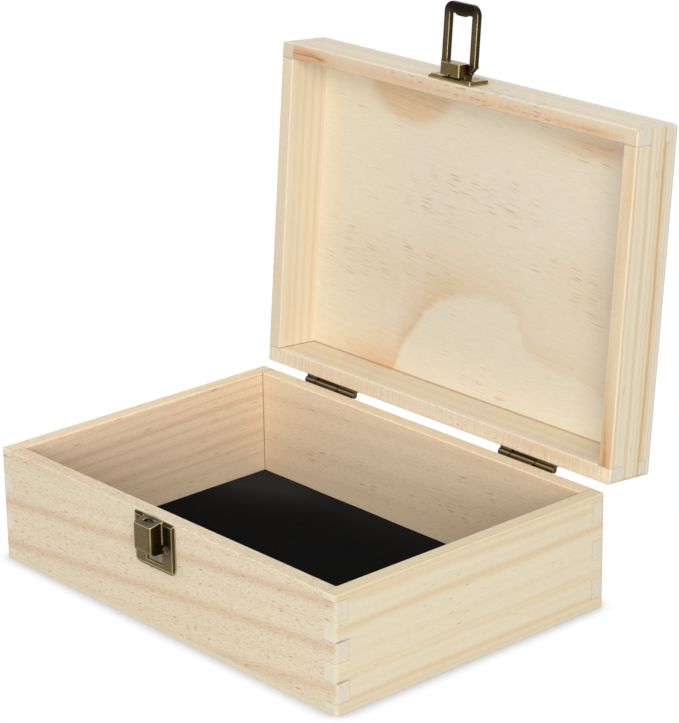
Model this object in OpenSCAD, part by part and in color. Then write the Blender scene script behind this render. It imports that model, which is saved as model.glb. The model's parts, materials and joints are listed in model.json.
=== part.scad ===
// Keepsake box: finger-jointed pine base and lid, plywood panels, felt liner,
// two stop hinges and a swing-loop latch in antique brass.
// Frame: +Z up, front towards -Y, origin at the centre of the underside.
// The lid is drawn closed and then swung open, the loop is drawn latched and
// then swung out, as the box stands when it is open.

/* [Box] */
// Outside width, left to right
box_w = 220; // [150:1:320]
// Outside depth, front to back
box_d = 152.5; // [100:0.5:240]
// Height of the base, underside to rim
base_h = 52.1; // [36:0.1:120]
// Height of the lid, rim to top face
lid_h = 24.1; // [18:0.1:60]
// Thickness of the pine walls
wall_t = 7.2; // [6:0.1:12]
// Thickness of the plywood panel under the base
floor_t = 2.5; // [2:0.1:6]
// Thickness of the plywood panel on the lid
top_t = 2.5; // [2:0.1:6]
// Radius of the upright outer corners
corner_r = 1.6; // [0.5:0.1:4]
// Bevel where the rims are sanded
rim_bevel = 0.45; // [0.1:0.05:1]

/* [Finger joints] */
// Height of a whole finger
finger_h = 8.8; // [6:0.1:14]
// Height of the cut finger at the base's rim
base_first_h = 2.9; // [1:0.1:8]
// Height of the finger at the lid's rim
lid_first_h = 8.8; // [3:0.1:12]
// Gap that the glue fills between two fingers
glue_gap = 0.06; // [0.02:0.01:0.2]

/* [Liner] */
// Thickness of the felt
felt_t = 1.15; // [0.5:0.05:4]
// Gap between the felt's edge and the walls
felt_gap = 0.3; // [0.1:0.05:2]
// Radius of the felt's corners
felt_r = 1.2; // [0.2:0.1:5]

/* [Lid swing] */
// Angle that the lid stands open at
open_deg = 95; // [80:1:110]
// Gap between the two rims when the box is shut
seam_gap = 0.4; // [0.2:0.1:1.5]

/* [Hinges] */
// Distance from the box's sides to the middle of each hinge
hinge_inset = 46.4; // [30:0.1:60]
// How far all the brass sits to the right of the middle
brass_x = -1.7; // [-5:0.1:5]
// Length of a hinge
hinge_l = 33.2; // [24:0.1:45]
// Height of a hinge leaf
leaf_h = 11; // [8:0.1:15]
// Thickness of a hinge leaf
leaf_t = 0.9; // [0.6:0.05:1.5]
// Radius of a leaf's corners
leaf_r = 1.8; // [0.5:0.1:3.5]
// Radius of a leaf's corners beside the barrel
leaf_near_r = 0.4; // [0.1:0.1:1]
// Gap between a leaf's sheet and the other leaf's knuckles
leaf_gap = 0.15; // [0.05:0.05:0.4]
// Outer radius of the hinge barrel
barrel_r = 1.35; // [1.1:0.05:2.5]
// Radius of the hinge pin
pin_r = 0.7; // [0.4:0.05:0.9]
// Radial running gap around the hinge pin
pin_gap = 0.05; // [0.02:0.01:0.09]
// Length of the lid leaf's left knuckle
left_knuckle = 7.2; // [4:0.1:10]
// Length of the lid leaf's right knuckle
right_knuckle = 11; // [4:0.1:12]
// Gap between two knuckles
knuckle_gap = 0.2; // [0.1:0.05:0.6]
// Length of the stop tongue behind the barrel
tongue_l = 3.4; // [2.4:0.1:6]
// Thickness of the stop tongue
tongue_t = 0.8; // [0.4:0.05:1]
// Gap between the lid leaf and the stop tongue
stop_gap = 0.05; // [0.02:0.01:0.2]

/* [Latch] */
// Width of both latch plates
plate_w = 26.8; // [20:0.1:36]
// Height of the catch plate
catch_h = 23.3; // [20:0.1:34]
// Height of the hasp plate
hasp_h = 14; // [12.8:0.1:18]
// Distance from the hasp plate's rim edge to its screws
hasp_screw_up = 9.4; // [5:0.1:13]
// How far the catch plate stands out from the wood
plate_t = 1.2; // [0.8:0.1:2]
// How far the hasp plate stands out from the wood
hasp_t = 1.9; // [1.2:0.1:2.2]
// Distance from the rims to the plates
plate_inset = 0.5; // [0.3:0.1:2]
// Width of the plates' bevelled border
plate_bevel = 1.5; // [0.5:0.1:3]
// Thickness left at the plates' outer edge
plate_edge = 0.35; // [0.2:0.05:0.8]
// Corner radius of the plates, far from the rim
plate_far_r = 4; // [1:0.1:6]
// Corner radius of the plates, near the rim
plate_near_r = 1.3; // [0.5:0.1:3]
// Width of the catch housing
catch_w = 11.6; // [8:0.1:14]
// How far the catch housing stands out from the wood
catch_out = 7.5; // [6:0.1:10]
// Distance from the plate's top edge to the housing's bottom
catch_drop = 14.4; // [12:0.1:16]
// Distance from the plate's top edge to the catch's screws
catch_screw_drop = 12.2; // [8:0.1:18]
// How much the housing's top falls towards its front
catch_slope = 1.5; // [0:0.1:3]
// Thickness of the catch housing's sheet
sheet_t = 0.8; // [0.5:0.05:1.2]
// Radius of the catch housing's front corners
catch_r = 1.5; // [0.9:0.1:3]
// Radius of the curl at the housing's bottom
curl_r = 2.6; // [1:0.1:4]
// Radius of the fillet between housing and plate
root_r = 0.8; // [0.2:0.1:1.5]
// Length of the slot in the housing's top
slot_l = 5.6; // [3:0.1:8]
// Width of the slot in the housing's top
slot_w = 2.1; // [0.8:0.1:3]
// Distance from the wood to the middle of the slot
slot_out = 3.2; // [2.5:0.1:5]
// Height of the window in the plate, below the housing's bottom
window_h = 5.4; // [1:0.1:6]
// Width of the hasp's hood
hood_w = 11.8; // [8:0.1:14]
// How far the hood stands out from the wood
hood_out = 8.3; // [7:0.1:11]
// Distance from the lid's rim to the hood
hood_inset = 0.5; // [0.1:0.1:2]
// Gap under the hood's front
hood_lift = 0.6; // [0.3:0.1:2]
// Radius of the hood's corners
hood_r = 0.9; // [0.3:0.1:2]
// Radius of the notch under the hood's front
notch_r = 0.8; // [0.3:0.1:1.5]
// Depth of the notch under the hood's front
notch_l = 3; // [1:0.1:4]

/* [Loop] */
// Distance from the lid's rim to the loop's pivot
pivot_up = 7.2; // [6:0.1:10]
// Distance from the wood to the loop's pivot
pivot_out = 4.4; // [3.8:0.1:6]
// Outer radius of the pivot barrel on the hasp plate
eye_r = 2.3; // [1.8:0.1:3.2]
// Radius of the pintles at the loop's feet
pintle_r = 0.95; // [0.6:0.05:1.3]
// Radial running gap around the pintles
pintle_gap = 0.06; // [0.02:0.01:0.09]
// Depth of each pintle in the barrel
pintle_l = 4; // [2:0.1:5]
// Width of the opening in the loop
loop_in_w = 13.6; // [12:0.1:18]
// Width of one leg of the loop
leg_w = 3.6; // [2:0.05:4.5]
// Thickness of the loop
loop_t = 2.8; // [1.6:0.1:3]
// Length from the pivot to the loop's outer end
loop_l = 29.6; // [27:0.1:38]
// Height of the loop's end bar
bar_h = 5; // [4:0.1:7]
// Outer radius of the loop's end corners
loop_r = 4.6; // [3.3:0.1:7]
// Rounding along the loop's edges
edge_r = 0.6; // [0.3:0.05:0.9]
// Gap between the loop's feet and the hood
foot_gap = 0.25; // [0.1:0.05:0.6]
// How far the tooth bulges from the end bar
tooth_h = 0.9; // [0.3:0.1:1.6]
// Length of the tooth
tooth_l = 7.6; // [5:0.1:11]
// Length of the taper at each end of the tooth
tooth_taper = 1.8; // [0.5:0.1:2]
// Angle that the loop stands out at, from latched
loop_deg = 90; // [60:1:120]

/* [Screws] */
// Radius of the screw heads
head_r = 1.9; // [1.4:0.1:2.4]
// Height of the countersunk screw heads
head_h = 0.75; // [0.4:0.05:1]
// Radius of the screws' shanks
shank_r = 0.9; // [0.5:0.05:1.2]
// Length of the screws in the wood
screw_l = 5.6; // [3:0.1:7]
// Gap around the screws in their holes
screw_gap = 0.05; // [0.02:0.01:0.2]
// Length of the cross slots in a screw head
drive_l = 2.4; // [1.6:0.1:3.2]
// Width of the cross slots in a screw head
drive_w = 0.5; // [0.3:0.05:0.8]
// Depth of the cross slots in a screw head
drive_d = 0.4; // [0.2:0.05:0.6]
// Distance between the screws of a hinge leaf
leaf_screw_pitch = 21; // [14:0.1:28]
// Distance between the screws of a latch plate
plate_screw_pitch = 15.8; // [14:0.1:20]

/* [Hidden] */
$fn = 48;

pine = [0.90, 0.80, 0.62];
ply = [0.92, 0.84, 0.68];
felt = [0.06, 0.06, 0.07];
brass = [0.42, 0.34, 0.18];
bright = [0.62, 0.52, 0.30];

// Slack for cuts that run out of a solid
cut = 1;
// Size that is larger than the whole box
far = 2 * max(box_w, box_d, base_h + lid_h);

// Rims and hinge axis, with the lid closed
lid_z = base_h + seam_gap;
lid_top = lid_z + lid_h;
axis_out = leaf_t + barrel_r;
axis_y = box_d / 2 + axis_out;
axis_z = base_h + seam_gap / 2;

// Hinge leaves start this far from the axis, just clear of the other leaf's knuckles
leaf_start = sqrt(pow(barrel_r + leaf_gap, 2) - pow(barrel_r, 2));
leaf_screw_z = leaf_start + leaf_h / 2;
hinge_x = box_w / 2 - hinge_inset;
left_end = -hinge_l / 2;
left_joint = left_end + left_knuckle;
right_joint = hinge_l / 2 - right_knuckle;
right_end = hinge_l / 2;

// Latch, in the plane of the front faces
latch_y = -box_d / 2;
catch_top = base_h - plate_inset;
catch_screw_z = catch_top - catch_screw_drop;
root_drop = catch_screw_drop - head_r - 2 * screw_gap;
hasp_bottom = lid_z + plate_inset;
hasp_screw_z = hasp_bottom + hasp_screw_up;
hood_from = hood_inset - plate_inset + plate_edge;
hood_low = hasp_t + hood_lift;
pivot_z = lid_z + pivot_up;
foot_y = pintle_r + leg_w / 2;
tooth_z = loop_t / 2 - tooth_h;
foot_x = hood_w / 2 + foot_gap;
leg_x = loop_in_w / 2 + leg_w / 2;
leg_out_x = loop_in_w / 2 + leg_w;

// Boundaries between the fingers, from the rim inwards, within a wall of height h
function finger_steps(first, h) = [
    0,
    for (z = first; z < h - glue_gap; z = z + finger_h) z,
    h
];

// A rounded rectangle of exact arcs, centred on x, standing on y = 0
module plate_outline(w, h, bottom_r, top_r) {
    translate([-w / 2, bottom_r]) square([w, h - bottom_r - top_r]);
    translate([bottom_r - w / 2, 0]) square([w - 2 * bottom_r, h - top_r]);
    translate([top_r - w / 2, bottom_r]) square([w - 2 * top_r, h - bottom_r]);
    for (side = [-1, 1]) {
        translate([side * (w / 2 - bottom_r), bottom_r]) circle(r = bottom_r);
        translate([side * (w / 2 - top_r), h - top_r]) circle(r = top_r);
    }
}

module footprint(w, d, r) {
    translate([0, -d / 2]) plate_outline(w, d, r, r);
}

// Places for pieces of the closed lid, the latched loop and the front hardware
module swing_lid() {
    translate([0, axis_y, axis_z])
        rotate([-open_deg, 0, 0])
            translate([0, -axis_y, -axis_z]) children();
}

module swing_loop() {
    translate([0, latch_y - pivot_out, pivot_z])
        rotate([-loop_deg, 0, 0])
            translate([0, pivot_out - latch_y, -pivot_z]) children();
}

// Local x to the right, y up and z out of the front face
module on_front() {
    translate([brass_x, latch_y, 0]) rotate([90, 0, 0]) children();
}

// Local x to the left, y up and z out of the back face
module on_back() {
    translate([0, box_d / 2, 0]) rotate([90, 0, 180]) children();
}

// Walls. A board has its rim at z = 0 and its outer face at y = 0.
// Its own fingers fill the steps whose index has the given parity.
module board(length, h, steps, parity) {
    core = length - 2 * (wall_t + glue_gap);
    translate([-core / 2, 0, 0]) cube([core, wall_t, h]);
    for (i = [0 : len(steps) - 2])
        if (i % 2 == parity) {
            low = steps[i] + (i == 0 ? 0 : glue_gap / 2);
            high = steps[i + 1] - (i == len(steps) - 2 ? 0 : glue_gap / 2);
            translate([-length / 2, 0, low]) cube([length, wall_t, high - low]);
        }
}

// The sander's bevel along a rim: outside all round, inside as far as the corners
module rim_edge(length, inset) {
    side = sqrt(2) * rim_bevel;
    translate([0, inset, 0]) rotate([45, 0, 0]) cube([length, side, side], center = true);
}

// The four places of a wall ring: its outer face goes outwards
module wall_place(side) {
    if (side == "front") translate([0, -box_d / 2, 0]) children();
    if (side == "back") translate([0, box_d / 2, 0]) rotate([0, 0, 180]) children();
    if (side == "left") translate([-box_w / 2, 0, 0]) rotate([0, 0, -90]) children();
    if (side == "right") translate([box_w / 2, 0, 0]) rotate([0, 0, 90]) children();
}

// One wall of a ring of four, with its rim at z = 0 and its body above
module ring_wall(side, h, first, front_parity) {
    along = (side == "front" || side == "back");
    length = along ? box_w : box_d;
    steps = finger_steps(first, h);
    difference() {
        intersection() {
            wall_place(side) board(length, h, steps, along ? front_parity : 1 - front_parity);
            linear_extrude(height = h) footprint(box_w, box_d, corner_r);
        }
        for (edge = ["front", "back", "left", "right"])
            wall_place(edge) rim_edge(far, 0);
        wall_place(side) rim_edge(length - 2 * wall_t, wall_t);
    }
}

module base_wall(side) {
    h = base_h - floor_t;
    color(pine) difference() {
        translate([0, 0, base_h]) mirror([0, 0, 1]) ring_wall(side, h, base_first_h, 1);
        if (side == "back") hinge_screw_holes(-1);
        if (side == "front") on_front() catch_screw_places() screw_hole();
    }
}

module lid_wall(side) {
    h = lid_h - top_t;
    color(pine) swing_lid() difference() {
        translate([0, 0, lid_z]) ring_wall(side, h, lid_first_h, 0);
        if (side == "back") hinge_screw_holes(1);
        if (side == "front") on_front() hasp_screw_places() screw_hole();
    }
}

module base_front_wall() { base_wall("front"); }
module base_back_wall() { base_wall("back"); }
module base_left_wall() { base_wall("left"); }
module base_right_wall() { base_wall("right"); }
module lid_front_wall() { lid_wall("front"); }
module lid_back_wall() { lid_wall("back"); }
module lid_left_wall() { lid_wall("left"); }
module lid_right_wall() { lid_wall("right"); }

// Panels
module base_floor_panel() {
    color(ply) linear_extrude(height = floor_t) footprint(box_w, box_d, corner_r);
}

module lid_top_panel() {
    color(ply) swing_lid() translate([0, 0, lid_top - top_t])
        linear_extrude(height = top_t) footprint(box_w, box_d, corner_r);
}

module felt_liner() {
    inset = 2 * (wall_t + felt_gap);
    color(felt) translate([0, 0, floor_t])
        linear_extrude(height = felt_t) footprint(box_w - inset, box_d - inset, felt_r);
}

// Screws, with the head's rim at z = 0 and the shank going down
module screw() {
    difference() {
        union() {
            translate([0, 0, -head_h]) cylinder(r1 = shank_r, r2 = head_r, h = head_h);
            translate([0, 0, -screw_l]) cylinder(r = shank_r, h = screw_l);
        }
        for (turn = [0, 90])
            rotate([0, 0, turn]) translate([-drive_l / 2, -drive_w / 2, -drive_d])
                cube([drive_l, drive_w, drive_d + cut]);
    }
}

// Room for one screw in wood or sheet, its countersink parallel to the head
module screw_hole() {
    translate([0, 0, -screw_l - cut]) cylinder(r = shank_r + screw_gap, h = screw_l + far);
}

module countersink() {
    screw_hole();
    translate([0, 0, -head_h])
        cylinder(r1 = shank_r + screw_gap, r2 = head_r + screw_gap, h = head_h);
    cylinder(r = head_r + screw_gap, h = cut);
}

module catch_screw_places() {
    for (side = [-1, 1])
        translate([side * plate_screw_pitch / 2, catch_screw_z, plate_t]) children();
}

module hasp_screw_places() {
    for (side = [-1, 1])
        translate([side * plate_screw_pitch / 2, hasp_screw_z, hasp_t]) children();
}

// up is 1 for the lid's leaves and -1 for the base's
module leaf_screw_places(up) {
    for (side = [-1, 1])
        translate([side * leaf_screw_pitch / 2, axis_z + up * leaf_screw_z, leaf_t]) children();
}

module hinge_places() {
    for (side = [-1, 1]) translate([brass_x + side * hinge_x, 0, 0]) children();
}

module hinge_screw_holes(up) {
    hinge_places() on_back() leaf_screw_places(up) screw_hole();
}

module hinge_base_screws() {
    color(brass) hinge_places() on_back() leaf_screw_places(-1) screw();
}

module hinge_lid_screws() {
    color(brass) swing_lid() hinge_places() on_back() leaf_screw_places(1) screw();
}

module catch_screws() {
    color(brass) on_front() catch_screw_places() screw();
}

module hasp_screws() {
    color(brass) swing_lid() on_front() hasp_screw_places() screw();
}

// Hinges, drawn about their axis with x along it and the wood at y = -axis_out
module at_axis(side) {
    translate([brass_x + side * hinge_x, axis_y, axis_z]) children();
}

module along_x(from, to) {
    translate([from, 0, 0]) rotate([0, 90, 0]) linear_extrude(height = to - from) children();
}

// One knuckle: the sheet rolls round the pin and comes down on the leaf's side.
// Where it holds the lid, its end runs on backwards and stops the lid's leaf.
module knuckle(from, to, up, stop) {
    along_x(from, to) difference() {
        union() {
            circle(r = barrel_r);
            translate([up > 0 ? -barrel_r : 0, -axis_out]) square([barrel_r, axis_out]);
            if (stop)
                rotate(-open_deg) translate([-tongue_l, stop_gap - barrel_r])
                    square([tongue_l, tongue_t]);
        }
        circle(r = pin_r + pin_gap);
    }
}

// The leaf's sheet, without its knuckles
module leaf_sheet(up) {
    translate([0, -axis_out, 0]) rotate([90, 0, 180])
        linear_extrude(height = leaf_t)
            mirror([0, up > 0 ? 0 : 1]) translate([0, leaf_start])
                plate_outline(hinge_l, leaf_h, leaf_near_r, leaf_r);
}

module leaf(up) {
    half_gap = knuckle_gap / 2;
    difference() {
        leaf_sheet(up);
        translate([0, -axis_out, -axis_z]) rotate([90, 0, 180])
            leaf_screw_places(up) countersink();
    }
    if (up > 0) {
        knuckle(left_end, left_joint - half_gap, up, false);
        knuckle(right_joint + half_gap, right_end, up, false);
    } else {
        knuckle(left_joint + half_gap, right_joint - half_gap, up, true);
    }
}

module hinge_left_base_leaf() { color(brass) at_axis(-1) leaf(-1); }
module hinge_right_base_leaf() { color(brass) at_axis(1) leaf(-1); }
module hinge_left_lid_leaf() { color(brass) swing_lid() at_axis(-1) leaf(1); }
module hinge_right_lid_leaf() { color(brass) swing_lid() at_axis(1) leaf(1); }

module hinge_pin(side) {
    color(bright) at_axis(side) along_x(left_end, right_end) circle(r = pin_r);
}

module hinge_left_pin() { hinge_pin(-1); }
module hinge_right_pin() { hinge_pin(1); }

// Latch plates: a sheet with a rounded outline and a bevelled border.
// near_top is true where the rim is at the plate's top edge.
module bevel_profile(length, t) {
    polygon([
        [0, 0], [length, 0], [length, plate_edge],
        [length - plate_bevel, t], [plate_bevel, t], [0, plate_edge]
    ]);
}

module latch_sheet(h, t, near_top) {
    bottom_r = near_top ? plate_far_r : plate_near_r;
    top_r = near_top ? plate_near_r : plate_far_r;
    intersection() {
        linear_extrude(height = t) plate_outline(plate_w, h, bottom_r, top_r);
        translate([-plate_w / 2, h, 0]) rotate([90, 0, 0])
            linear_extrude(height = h) bevel_profile(plate_w, t);
        translate([-plate_w / 2, 0, 0]) rotate([90, 0, 90])
            linear_extrude(height = plate_w) bevel_profile(h, t);
    }
}

// Pressed sheet housing of the catch, in the front face's frame.
// Side profiles are drawn as (up, out), with up = 0 at the plate's top edge.
module along_front(from, to) {
    translate([from, 0, 0]) rotate([90, 0, 90]) linear_extrude(height = to - from) children();
}

module housing_side(back, front, top, bottom, r) {
    fall = catch_slope / catch_out;
    difference() {
        polygon([
            [top, back], [top, 0], [top - fall * front, front], [bottom, front], [bottom, back]
        ]);
        difference() {
            translate([bottom - cut, front - r]) square([r + cut, r + cut]);
            translate([bottom + r, front - r]) circle(r = r);
        }
    }
}

module housing_plan(w, front, r) {
    translate([-w / 2, -cut]) square([w, front + cut - r]);
    translate([r - w / 2, 0]) square([w - 2 * r, front]);
    for (side = [-1, 1]) translate([side * (w / 2 - r), front - r]) circle(r = r);
}

// Fillets between the housing's sides and the plate
module root_plan() {
    for (side = [-1, 1])
        translate([side * catch_w / 2, plate_t]) difference() {
            translate([-root_r, -plate_t / 2]) square([2 * root_r, root_r + plate_t / 2]);
            translate([side * root_r, root_r]) circle(r = root_r);
        }
}

module extrude_down(height) {
    rotate([90, 0, 0]) linear_extrude(height = height) children();
}

module housing_outside() {
    intersection() {
        along_front(-plate_w / 2, plate_w / 2)
            housing_side(0, catch_out, 0, -catch_drop, curl_r);
        union() {
            extrude_down(catch_drop) housing_plan(catch_w, catch_out, catch_r);
            extrude_down(root_drop) root_plan();
        }
    }
}

module housing_inside() {
    front = catch_out - sheet_t;
    inner_w = catch_w - 2 * sheet_t;
    top = -sheet_t;
    bottom = sheet_t - catch_drop;
    intersection() {
        along_front(-inner_w / 2, inner_w / 2)
            housing_side(-cut, front, top, bottom, curl_r - sheet_t);
        extrude_down(catch_drop) housing_plan(inner_w, front, catch_r - sheet_t);
    }
    // The open bottom, behind the curl
    translate([-inner_w / 2, bottom - sheet_t - cut, -cut])
        cube([inner_w, 2 * sheet_t + cut, catch_out - curl_r + cut]);
    // The window that the housing was pressed out of
    translate([-inner_w / 2, bottom - sheet_t - window_h, -cut])
        cube([inner_w, window_h + 2 * sheet_t, plate_t + 2 * cut]);
    // The slot in the sloping top
    translate([-slot_l / 2, top - catch_slope - cut, slot_out - slot_w / 2])
        cube([slot_l, catch_slope + sheet_t + 2 * cut, slot_w]);
}

module catch_plate() {
    color(brass) on_front() difference() {
        union() {
            translate([0, catch_top - catch_h, 0]) latch_sheet(catch_h, plate_t, true);
            translate([0, catch_top, 0]) housing_outside();
        }
        translate([0, catch_top, 0]) housing_inside();
        catch_screw_places() countersink();
    }
}

// Hasp plate, with the hood and the pivot barrel behind it
module hasp_plate() {
    pivot = pivot_up - plate_inset;
    depth = pivot - hood_from;
    color(brass) swing_lid() on_front() translate([0, hasp_bottom, 0]) difference() {
        union() {
            latch_sheet(hasp_h, hasp_t, false);
            // Hood
            translate([0, hood_from, hood_low])
                linear_extrude(height = hood_out - hood_low)
                    plate_outline(hood_w, depth, hood_r, hood_r / 2);
            // Barrel and its foot on the plate
            translate([0, pivot, 0]) along_front(-hood_w / 2, hood_w / 2) {
                translate([0, pivot_out]) circle(r = eye_r);
                translate([-eye_r, hasp_t / 2]) square([2 * eye_r, pivot_out - hasp_t / 2]);
            }
        }
        translate([0, pivot, pivot_out]) rotate([0, 90, 0])
            cylinder(r = pintle_r + pintle_gap, h = hood_w + 2 * cut, center = true);
        // Notch under the hood's front
        translate([0, hood_from - cut, hood_low]) rotate([-90, 0, 0])
            cylinder(r = notch_r, h = notch_l + cut);
        translate([0, -hasp_bottom, 0]) hasp_screw_places() countersink();
    }
}

// Loop, about its pivot: x to the right, y along the loop from pivot to end,
// z towards the box when the loop is latched
module bar_section() {
    offset_w = leg_w / 2 - edge_r;
    offset_t = loop_t / 2 - edge_r;
    square([leg_w, 2 * offset_t], center = true);
    square([2 * offset_w, loop_t], center = true);
    for (a = [-1, 1])
        for (b = [-1, 1]) translate([a * offset_w, b * offset_t]) circle(r = edge_r);
}

module leg(side) {
    bend = loop_r - leg_w / 2;
    translate([side * leg_x, foot_y, 0]) rotate([-90, 0, 0])
        linear_extrude(height = loop_l - loop_r - foot_y) bar_section();
    translate([side * (leg_x - bend), loop_l - loop_r, 0])
        rotate([0, 0, side > 0 ? 0 : 90])
            rotate_extrude(angle = 90) translate([bend, 0]) bar_section();
}

module end_bar() {
    straight = 2 * (leg_out_x - loop_r);
    // The outer edge between the corners, and the grip below it between the legs
    translate([-straight / 2, loop_l - leg_w / 2, 0]) rotate([90, 0, 90])
        linear_extrude(height = straight) bar_section();
    translate([-leg_x, loop_l - bar_h + leg_w / 2, 0]) rotate([90, 0, 90])
        linear_extrude(height = 2 * leg_x) bar_section();
    // The tooth that snaps under the catch, with tapered ends
    translate([0, loop_l - bar_h, tooth_z]) {
        rotate([0, 90, 0]) cylinder(r = tooth_h, h = tooth_l - 2 * tooth_taper, center = true);
        for (side = [-1, 1])
            translate([side * (tooth_l / 2 - tooth_taper), 0, 0]) rotate([0, side * 90, 0])
                cylinder(r1 = tooth_h, r2 = tooth_h / 2, h = tooth_taper);
    }
}

// A foot turns in under the leg and carries the pintle
module foot(side) {
    mirror([side > 0 ? 0 : 1, 0, 0]) {
        translate([0, 0, -loop_t / 2]) linear_extrude(height = loop_t)
            polygon([
                [loop_in_w / 2, foot_y + edge_r], [loop_in_w / 2, foot_y],
                [foot_x, pintle_r], [foot_x, -pintle_r],
                [loop_in_w / 2, -pintle_r], [leg_out_x, foot_y], [leg_out_x, foot_y + edge_r]
            ]);
        translate([foot_x, 0, 0]) rotate([0, 90, 0])
            cylinder(r1 = loop_t / 2, r2 = pintle_r, h = leg_w / 2);
        translate([foot_x - foot_gap - pintle_l, 0, 0]) rotate([0, 90, 0])
            cylinder(r = pintle_r, h = pintle_l + foot_gap + leg_w / 4);
    }
}

module hasp_loop() {
    color(brass) swing_lid() swing_loop()
        translate([brass_x, latch_y - pivot_out, pivot_z]) rotate([-90, 0, 0]) {
            for (side = [-1, 1]) {
                leg(side);
                foot(side);
            }
            end_bar();
        }
}

base_front_wall();
base_back_wall();
base_left_wall();
base_right_wall();
base_floor_panel();
felt_liner();
hinge_left_base_leaf();
hinge_right_base_leaf();
hinge_left_pin();
hinge_right_pin();
hinge_base_screws();
catch_plate();
catch_screws();
lid_front_wall();
lid_back_wall();
lid_left_wall();
lid_right_wall();
lid_top_panel();
hinge_left_lid_leaf();
hinge_right_lid_leaf();
hinge_lid_screws();
hasp_plate();
hasp_screws();
hasp_loop();
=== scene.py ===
"""Dresses the keepsake box: pine boards, plywood panels, black felt and antique brass."""

from __future__ import annotations

import json
import logging
import math
from dataclasses import dataclass
from enum import Enum

import bmesh
import bpy
from mathutils import Matrix, Vector, noise


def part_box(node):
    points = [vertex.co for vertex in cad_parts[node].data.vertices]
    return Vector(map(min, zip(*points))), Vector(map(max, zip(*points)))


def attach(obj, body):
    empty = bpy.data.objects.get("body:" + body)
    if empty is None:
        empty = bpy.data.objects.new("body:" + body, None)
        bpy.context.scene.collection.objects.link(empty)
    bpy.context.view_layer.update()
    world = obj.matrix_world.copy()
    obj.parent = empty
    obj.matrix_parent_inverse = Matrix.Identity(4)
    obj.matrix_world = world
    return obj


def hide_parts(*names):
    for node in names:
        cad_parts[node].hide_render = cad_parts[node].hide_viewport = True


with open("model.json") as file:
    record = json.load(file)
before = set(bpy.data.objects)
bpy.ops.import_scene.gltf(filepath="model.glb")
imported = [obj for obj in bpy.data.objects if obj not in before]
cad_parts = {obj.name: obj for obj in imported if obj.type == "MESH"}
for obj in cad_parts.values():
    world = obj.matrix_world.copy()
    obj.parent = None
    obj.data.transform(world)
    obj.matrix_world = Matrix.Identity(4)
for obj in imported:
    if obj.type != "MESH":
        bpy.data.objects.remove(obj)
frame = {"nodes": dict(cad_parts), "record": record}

LOG = logging.getLogger("keepsake_box")
MM = 0.001

# The box in millimetres: half its width and depth, and the thickness of its boards and panels
HALF_WIDE = 110.0
HALF_DEEP = 76.25
WALL = 7.2
PANEL = 2.5

# Where the middle of the latch and of the pair of hinges stands along x
MIDDLE = -1.7

Colour = tuple[float, float, float, float]
Numbers = tuple[float, ...]


class Axis(Enum):
    """The way that a board runs: half its length, and how far out its outer face stands."""

    ACROSS = (HALF_WIDE, HALF_DEEP)
    DEEP = (HALF_DEEP, HALF_WIDE)


class Seat(Enum):
    """Which half of the box a piece belongs to, and so where its own millimetres start."""

    BASE = 0.0
    LID = 95.0
    LOOP = 5.0


def rgb(red: float, green: float, blue: float) -> Colour:
    """Turns a colour as a screen shows it into the linear one that a shader takes.

    Args:
        red: Red, 0 to 255.
        green: Green, 0 to 255.
        blue: Blue, 0 to 255.

    Returns:
        The linear colour with a full alpha.
    """
    parts = []
    for value in (red / 255, green / 255, blue / 255):
        parts.append(value / 12.92 if value <= 0.04045 else ((value + 0.055) / 1.055) ** 2.4)
    return (parts[0], parts[1], parts[2], 1.0)


class Wire:
    """One output of a shader graph that is written in formulas like a number."""

    def __init__(self, graph: Graph, socket: bpy.types.NodeSocket) -> None:
        """Keeps the graph and the socket."""
        self.graph = graph
        self.socket = socket

    def __add__(self, other: Wire | float) -> Wire:
        """Adds."""
        return self.graph.math("ADD", self, other)

    __radd__ = __add__

    def __mul__(self, other: Wire | float) -> Wire:
        """Multiplies."""
        return self.graph.math("MULTIPLY", self, other)

    __rmul__ = __mul__

    def __sub__(self, other: Wire | float) -> Wire:
        """Takes the other away."""
        return self.graph.math("SUBTRACT", self, other)

    def __rsub__(self, other: float) -> Wire:
        """Takes this away from a number."""
        return self.graph.math("SUBTRACT", other, self)

    def __truediv__(self, other: Wire | float) -> Wire:
        """Divides."""
        return self.graph.math("DIVIDE", self, other)

    def __neg__(self) -> Wire:
        """Turns the sign round."""
        return self.graph.math("MULTIPLY", self, -1.0)

    def __abs__(self) -> Wire:
        """Drops the sign."""
        return self.graph.math("ABSOLUTE", self)

    def clipped(self) -> Wire:
        """Keeps the value between 0 and 1."""
        return self.graph.math("MINIMUM", self.graph.math("MAXIMUM", self, 0.0), 1.0)

    def soft(self, low: float, high: float) -> Wire:
        """Rises smoothly from 0 at low to 1 at high, or falls where low is the larger."""
        inputs = {"Value": self, "From Min": low, "From Max": high}
        return self.graph.out("ShaderNodeMapRange", {"interpolation_type": "SMOOTHSTEP"}, inputs)

    def hump(self, centre: float, half_width: float) -> Wire:
        """Makes a soft hill, 1 at its centre and about a third a half width away from it."""
        offset = (self - centre) / half_width
        return self.graph.math("EXPONENT", -(offset * offset))

    def between(self, low: float, high: float, edge: float) -> Wire:
        """Is 1 between two values, with soft edges."""
        return self.soft(low - edge, low + edge) * self.soft(high + edge, high - edge)


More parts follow.
